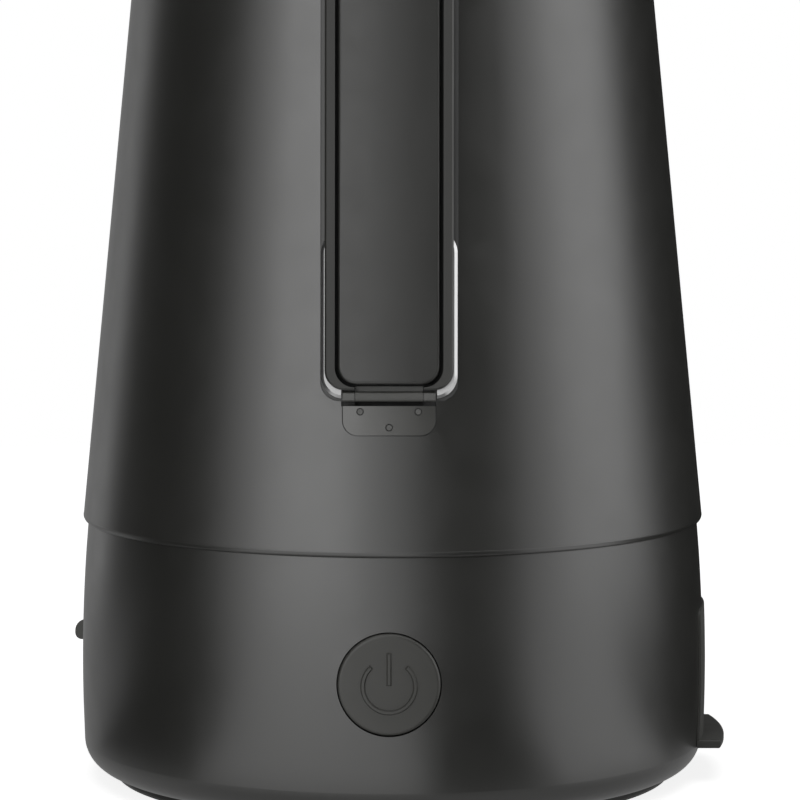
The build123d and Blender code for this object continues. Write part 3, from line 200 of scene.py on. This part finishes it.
def surface(name, dark, light, rough, metallic=0.0, specular=0.5, sheen=0.0, blotch=60.0,
            grain=2600.0, depth=0.01 * mm, stretch=None):
    """Procedural finish: tone from broad mottling, roughness from smudges, bump from the grain."""
    material, tree, shader = new_material(name)
    shader.inputs["Metallic"].default_value = metallic
    shader.inputs["Specular IOR Level"].default_value = specular
    shader.inputs["Sheen Weight"].default_value = sheen
    coords = tree.nodes.new("ShaderNodeTexCoord").outputs["Object"]
    mottle = noise(tree, coords, blotch, mottle_detail, stretch)
    share = map_range(tree, mottle, *noise_span, 0.0, 1.0)
    first, second, tone = mix_node(tree, "RGBA", share)
    first.default_value = (*dark, 1)
    second.default_value = (*light, 1)
    wire(tree, tone, shader.inputs["Base Color"])
    smudge = noise(tree, coords, blotch * smudge_scale, smudge_detail, stretch)
    wire(tree, map_range(tree, smudge, *noise_span, *rough), shader.inputs["Roughness"])
    bump = tree.nodes.new("ShaderNodeBump")
    bump.inputs["Strength"].default_value = bump_strength
    bump.inputs["Distance"].default_value = depth
    wire(tree, noise(tree, coords, grain, grain_detail, stretch), bump.inputs["Height"])
    wire(tree, bump.outputs["Normal"], shader.inputs["Normal"])
    return material


def from_hinge(tree, coords, direction):
    """Distance from the hinge pin along a direction."""
    along = tree.nodes.new("ShaderNodeVectorMath")
    along.operation = "DOT_PRODUCT"
    along.inputs[1].default_value = direction
    wire(tree, coords, along.inputs[0])
    origin = hinge_point.dot(direction)
    return math_node(tree, "SUBTRACT", along.outputs["Value"], constant=origin)


def fade_input(tree, socket, data_type, share, target):
    """Fades what feeds a shader's input into a fixed value."""
    first, second, result = mix_node(tree, data_type, share)
    second.default_value = target
    wire(tree, socket.links[0].from_socket, first)
    wire(tree, result, socket)


def paint_shade_in_sunk(material, levels, floor, rises, half_width):
    """Painted shade: turns faces near black and matt that lie between a level and a floor,
    between two rises and within a half width."""
    tree = material.node_tree
    shader = tree.nodes["Principled BSDF"]
    coords = tree.nodes.new("ShaderNodeTexCoord").outputs["Object"]
    split = tree.nodes.new("ShaderNodeSeparateXYZ")
    wire(tree, coords, split.inputs[0])
    aside = math_node(tree, "ABSOLUTE", split.outputs["X"])
    rise = from_hinge(tree, coords, front_slope)
    level = from_hinge(tree, coords, front_normal)
    share = map_range(tree, level, *levels, 1.0, 0.0)
    limits = [("LESS_THAN", aside, half_width), ("GREATER_THAN", level, floor)]
    limits += [("GREATER_THAN", rise, rises[0]), ("LESS_THAN", rise, rises[1])]
    for operation, value, limit in limits:
        inside = math_node(tree, operation, value, constant=limit)
        share = math_node(tree, "MULTIPLY", share, inside)
    fade_input(tree, shader.inputs["Base Color"], "RGBA", share, painted_shade_tone)
    fade_input(tree, shader.inputs["Roughness"], "FLOAT", share, painted_shade_rough)


# Finishes, one for each material slot of the record
finishes = {
    "body_plastic": surface("satin_graphite", grey(0.021), grey(0.024), (0.335, 0.365),
                            specular=1.0),
    "lever_plastic": surface("satin_graphite_lever", grey(0.021), grey(0.024), (0.38, 0.44),
                             specular=1.0),
    "arm_plastic": surface("charcoal_frame", grey(0.027), grey(0.030), (0.40, 0.46),
                           specular=0.57),
    "panel_plastic": surface("soft_touch_panel", grey(0.020), grey(0.023), (0.42, 0.48),
                             specular=0.7, grain=3600.0, depth=0.008 * mm),
    "button_plastic": surface("matt_button", grey(0.044), grey(0.048), (0.44, 0.50),
                              specular=0.6, grain=3200.0),
    "black_plastic": surface("black_moulded", grey(0.012), grey(0.018), (0.42, 0.52),
                             depth=0.02 * mm),
    "rubber": surface("soft_rubber", grey(0.016), grey(0.023), (0.55, 0.68), specular=0.35,
                      sheen=0.1, grain=3000.0, depth=0.02 * mm),
    "polished_steel": surface("polished_steel", metal(0.42), metal(0.47), (0.28, 0.36),
                              metallic=1.0, grain=5000.0, depth=0.002 * mm,
                              stretch=(1.0, 1.0, 0.12)),
    "steel": surface("brushed_steel", metal(0.34), metal(0.40), (0.30, 0.40), metallic=1.0,
                     grain=4200.0, depth=0.004 * mm, stretch=(0.1, 1.0, 1.0)),
    "bronze": surface("sintered_bronze", (0.42, 0.27, 0.11), (0.50, 0.33, 0.15), (0.30, 0.42),
                      metallic=1.0, depth=0.006 * mm),
    "gear_plastic": surface("natural_acetal", (0.70, 0.68, 0.61), (0.76, 0.74, 0.67),
                            (0.30, 0.40)),
    "motor_metal": surface("zinc_plate", metal(0.42), metal(0.52), (0.28, 0.40), metallic=1.0,
                           blotch=180.0),
    "board_green": surface("solder_mask", (0.012, 0.10, 0.035), (0.02, 0.13, 0.05),
                           (0.25, 0.35)),
    "cell_wrap": surface("shrink_wrap", (0.02, 0.05, 0.16), (0.03, 0.065, 0.19), (0.22, 0.32)),
}

# Finishes of single nodes, in place of their slot's
painted_steel = surface("painted_steel", grey(0.058), grey(0.062), (0.38, 0.46), specular=0.8,
                        grain=3400.0)
leaf_paint = surface("leaf_paint", grey(0.049), grey(0.053), (0.33, 0.36), specular=1.0,
                     grain=3400.0)
hardened_steel = surface("hardened_steel", metal(0.17), metal(0.22), (0.30, 0.40), metallic=1.0,
                         grain=4200.0, depth=0.004 * mm)
cover_rubber = surface("cover_elastomer", grey(0.042), grey(0.048), (0.48, 0.58), specular=0.45,
                       sheen=0.1, grain=3000.0, depth=0.02 * mm)
slider_plastic = surface("slider_plastic", grey(0.066), grey(0.072), (0.42, 0.50), specular=0.6,
                         grain=3200.0)
node_finishes = {
    "hinge_leaf": leaf_paint,
    "leaf_rivets": leaf_paint,
    "hinge_pin": painted_steel,
    "hinge_tongue": painted_steel,
    "drive_wheel": hardened_steel,
    "drive_screw": hardened_steel,
    "port_cover": cover_rubber,
    "reverse_slider": slider_plastic,
}

# Painted shade in the bed round the arm's panel and in the gap under the hinge barrel
paint_shade_in_sunk(finishes["arm_plastic"], bed_levels, bed_floor, bed_rises, bed_half_width)
for gap_finish in (finishes["body_plastic"], painted_steel, leaf_paint):
    paint_shade_in_sunk(gap_finish, gap_levels, gap_floor, gap_rises, gap_half_width)

slots = {entry["node"]: entry["material_slot"] for entry in record["subparts"]}
for node_name, node in nodes.items():
    finish = node_finishes.get(node_name, finishes[slots[node_name]])
    node.data.materials.clear()
    node.data.materials.append(finish)

# Normals weighed by area, so that thin triangles in the crown's rounding don't show as specks
even = nodes["top_cap"].modifiers.new("even_normals", "WEIGHTED_NORMAL")
even.mode = "FACE_AREA"
even.keep_sharp = True

# Power symbol
button_low, button_high = (Vector(corner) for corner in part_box("power_button"))
symbol_z = (button_low.z + button_high.z) / 2 - symbol_drop


def face_y(x):
    """Depth of the button's face at x: an upright cylinder."""
    return button_low.y + button_curve - math.sqrt(button_curve**2 - x**2)


def raised_stroke(bm, path):
    """Bevelled stroke along (x, z) points from the symbol's centre, standing on the face."""
    half = symbol_width / 2
    top = half - symbol_bevel
    section = [(-half, -symbol_root), (-half, 0.0), (-top, symbol_height)]
    section += [(top, symbol_height), (half, 0.0), (half, -symbol_root)]
    rows = []
    last = len(path) - 1
    for i, point in enumerate(path):
        before = Vector(path[max(i - 1, 0)])
        after = Vector(path[min(i + 1, last)])
        along = (after - before).normalized()
        across = Vector((-along.y, along.x))
        row = []
        for side, lift in section:
            place = Vector(point) + across * side
            if lift > 0 and i == 0:
                place += along * symbol_bevel
            if lift > 0 and i == last:
                place -= along * symbol_bevel
            row.append(bm.verts.new((place.x, face_y(place.x) - lift, symbol_z + place.y)))
        rows.append(row)
    for first, second in zip(rows, rows[1:]):
        for k in range(len(section)):
            n = (k + 1) % len(section)
            bm.faces.new((first[k], first[n], second[n], second[k]))
    bm.faces.new(rows[0])
    bm.faces.new(list(reversed(rows[-1])))


ring_path = []
for i in range(symbol_steps + 1):
    angle = symbol_gap + (2 * math.pi - 2 * symbol_gap) * i / symbol_steps
    ring_path.append((symbol_radius * math.sin(angle), symbol_radius * math.cos(angle)))
bm = bmesh.new()
raised_stroke(bm, ring_path)
raised_stroke(bm, [(0.0, bar_top), (0.0, (bar_top + bar_end) / 2), (0.0, bar_end)])
bmesh.ops.recalc_face_normals(bm, faces=bm.faces)
symbol_mesh = bpy.data.meshes.new("power_symbol")
bm.to_mesh(symbol_mesh)
bm.free()
symbol_mesh.materials.append(finishes["button_plastic"])
symbol = new_object("power_symbol", symbol_mesh)
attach(symbol, "button")

# Return spring of the button, whose one end sits on the board and the other on the button: a copy
# of its part, baked in place, stands for it
spring = new_object("return_spring", nodes["button_spring"].data.copy())
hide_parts("button_spring")
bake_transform(spring)

# Lip of the tower, an even ring over its rounding
lip_reach = lip_radius + lip_skin
lip_profile = []
for i in range(lip_steps + 1):
    angle = math.radians(lip_start + (lip_end - lip_start) * i / lip_steps)
    r = lip_centre[0] + lip_reach * math.cos(angle)
    z = lip_centre[1] + lip_reach * math.sin(angle)
    lip_profile.append((r, z))
lip_profile += lip_inside
count = len(lip_profile)
corners, faces = [], []
for i in range(lip_segments):
    angle = 2 * math.pi * i / lip_segments
    corners += [(r * math.cos(angle), r * math.sin(angle), z) for r, z in lip_profile]
    first = i * count
    second = (i + 1) % lip_segments * count
    for k in range(count):
        n = (k + 1) % count
        faces.append((first + k, second + k, second + n, first + n))
lip_mesh = bpy.data.meshes.new("tower_lip")
lip_mesh.from_pydata(corners, [], faces)
lip_mesh.shade_smooth()
lip_mesh.materials.append(finishes["body_plastic"])
lip = new_object("tower_lip", lip_mesh)
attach(lip, "housing")

# Studio, in metres: white surroundings, pale floor, cards for the reflections and soft lamps
white = (1, 1, 1, 1)
ambient_strength = 0.12
sheet_degrees = 4
floor_radius = 0.55
floor_tone = (0.8, 0.8, 0.8, 1)
floor_rough = 0.9
floor_glow = 0.80
card_tone = (0.012, 0.012, 0.012, 1)
card_rough = 0.95
dim_glow = 0.42
lamp_aim = Vector((0, 0, 0.11))

# Profiles of the cards: flat rings just above the floor, and upright walls
card_lift = 0.4 * mm
foot_radius, near_radius, far_radius = 0.0505, 0.075, 0.35
close_radius, close_top = 0.2, 0.4
wall_foot = [(1.49, card_lift), (1.57, 0.05), (1.6, 0.16)]
wall_top = (1.6, 2.2)
# Painted shadow: a dim ring round the object's foot stands for the floor's shade there, seen only
# in reflections
contact_shade_card = [(foot_radius, card_lift), (near_radius, card_lift)]
near_card = [(near_radius, card_lift), (far_radius, card_lift)]
far_card = [(far_radius, card_lift), *wall_foot, wall_top]
close_card = [(close_radius, card_lift), (close_radius, close_top)]


def seen_rays(tree):
    """1 for camera, glossy and transmission rays, otherwise 0."""
    rays = tree.nodes.new("ShaderNodeLightPath")
    seen = math_node(tree, "MAXIMUM", rays.outputs["Is Camera Ray"], rays.outputs["Is Glossy Ray"])
    return math_node(tree, "MAXIMUM", seen, rays.outputs["Is Transmission Ray"])


def bearing(angle, radius, z):
    """Point round the object; 0 is the front, and positive goes to the right."""
    turn = math.radians(angle)
    return Vector((radius * math.sin(turn), -radius * math.cos(turn), z))


def swept(name, profile, start, end, material):
    """Sheet swept round the axis from a profile of (radius, z) points; it belongs to the stage."""
    steps = max(2, int((end - start) / sheet_degrees))
    count = len(profile)
    corners, faces = [], []
    for i in range(steps + 1):
        angle = start + (end - start) * i / steps
        corners += [bearing(angle, radius, z) for radius, z in profile]
        for k in range(count - 1):
            if i < steps:
                first = i * count + k
                faces.append((first, first + count, first + count + 1, first + 1))
    mesh = bpy.data.meshes.new(name)
    mesh.from_pydata(corners, [], faces)
    mesh.materials.append(material)
    made = new_object(name, mesh)
    return made


def matt_sheet(name, tone, rough):
    """Matt material without gloss that can glow white."""
    material, tree, shader = new_material(name)
    shader.inputs["Base Color"].default_value = tone
    shader.inputs["Roughness"].default_value = rough
    shader.inputs["Specular IOR Level"].default_value = 0.0
    shader.inputs["Emission Color"].default_value = white
    return material, tree, shader.inputs["Emission Strength"]


def card_finish(name, glow):
    """Matt near-black sheet with a glow of its own."""
    material, _, strength = matt_sheet(name, card_tone, card_rough)
    strength.default_value = glow
    return material


def card(name, profile, start, end, finish):
    """Card between two bearings that only the reflections see."""
    made = swept(name, profile, start, end, finish)
    made.visible_camera = False
    made.visible_diffuse = False
    made.visible_shadow = False


def softbox(name, angle, radius, z, width, height, radiance):
    """Soft lamp at a bearing, aimed at the middle of the object."""
    lamp = bpy.data.lights.new(name, "AREA")
    lamp.shape = "RECTANGLE"
    lamp.size = width
    lamp.size_y = height
    lamp.energy = radiance * math.pi * width * height
    made = new_object(name, lamp)
    made.location = bearing(angle, radius, z)
    towards = lamp_aim - made.location
    made.rotation_euler = towards.to_track_quat("-Z", "Y").to_euler()
    made.visible_camera = False


world = bpy.data.worlds.new("studio")
scene.world = world
world.use_nodes = True
world_tree = world.node_tree
background = world_tree.nodes["Background"]
background.inputs["Color"].default_value = white
strength = map_range(world_tree, seen_rays(world_tree), 0.0, 1.0, ambient_strength, 1.0)
wire(world_tree, strength, background.inputs["Strength"])

floor_finish, floor_tree, floor_strength = matt_sheet("pale_floor", floor_tone, floor_rough)
glow = math_node(floor_tree, "MULTIPLY", seen_rays(floor_tree), constant=floor_glow)
wire(floor_tree, glow, floor_strength)
swept("floor", [(0.0, 0.0), (floor_radius, 0.0)], 0, 360, floor_finish)

dark_card = card_finish("dark_card", 0.0)
dim_card = card_finish("dim_card", dim_glow)
card("card_left", far_card, -126, -62, dark_card)
card("card_front", far_card, 9, 47, dark_card)
card("card_back", far_card, 108, 190, dark_card)
card("card_rim", far_card, 190, 222, dim_card)
card("card_left_near", near_card, -96, -49, dark_card)
card("card_front_near", near_card, 9, 41, dark_card)
card("card_back_near", near_card, 80, 200, dark_card)
card("card_rim_near", near_card, 200, 264, dim_card)
# Painted shadow of the floor round the foot, as a dim ring that only the reflections see
card("painted_contact_shade", contact_shade_card, 0, 360, dim_card)
card("card_back_close", close_card, 102, 178, dark_card)
softbox("key_left", angle=-29, radius=1.3, z=0.42, width=0.86, height=0.80, radiance=1.9)
softbox("side_right", angle=82, radius=1.3, z=0.42, width=0.86, height=0.80, radiance=1.38)
softbox("overhead", angle=0, radius=0.10, z=1.6, width=1.4, height=1.4, radiance=1.2)

# Camera
camera_data = bpy.data.cameras.new("camera")
camera_data.sensor_width = sensor_width
camera_data.lens = focal_pixels * sensor_width / image_pixels
camera_data.clip_start, camera_data.clip_end = camera_clip
camera = new_object("camera", camera_data)
scene.camera = camera
camera.location = bearing(math.degrees(camera_turn), camera_distance, camera_height)
axis_turn = math.atan(axis_pixels_left / focal_pixels)
camera.rotation_euler = (math.pi / 2 - camera_pitch, 0.0, camera_turn - axis_turn)
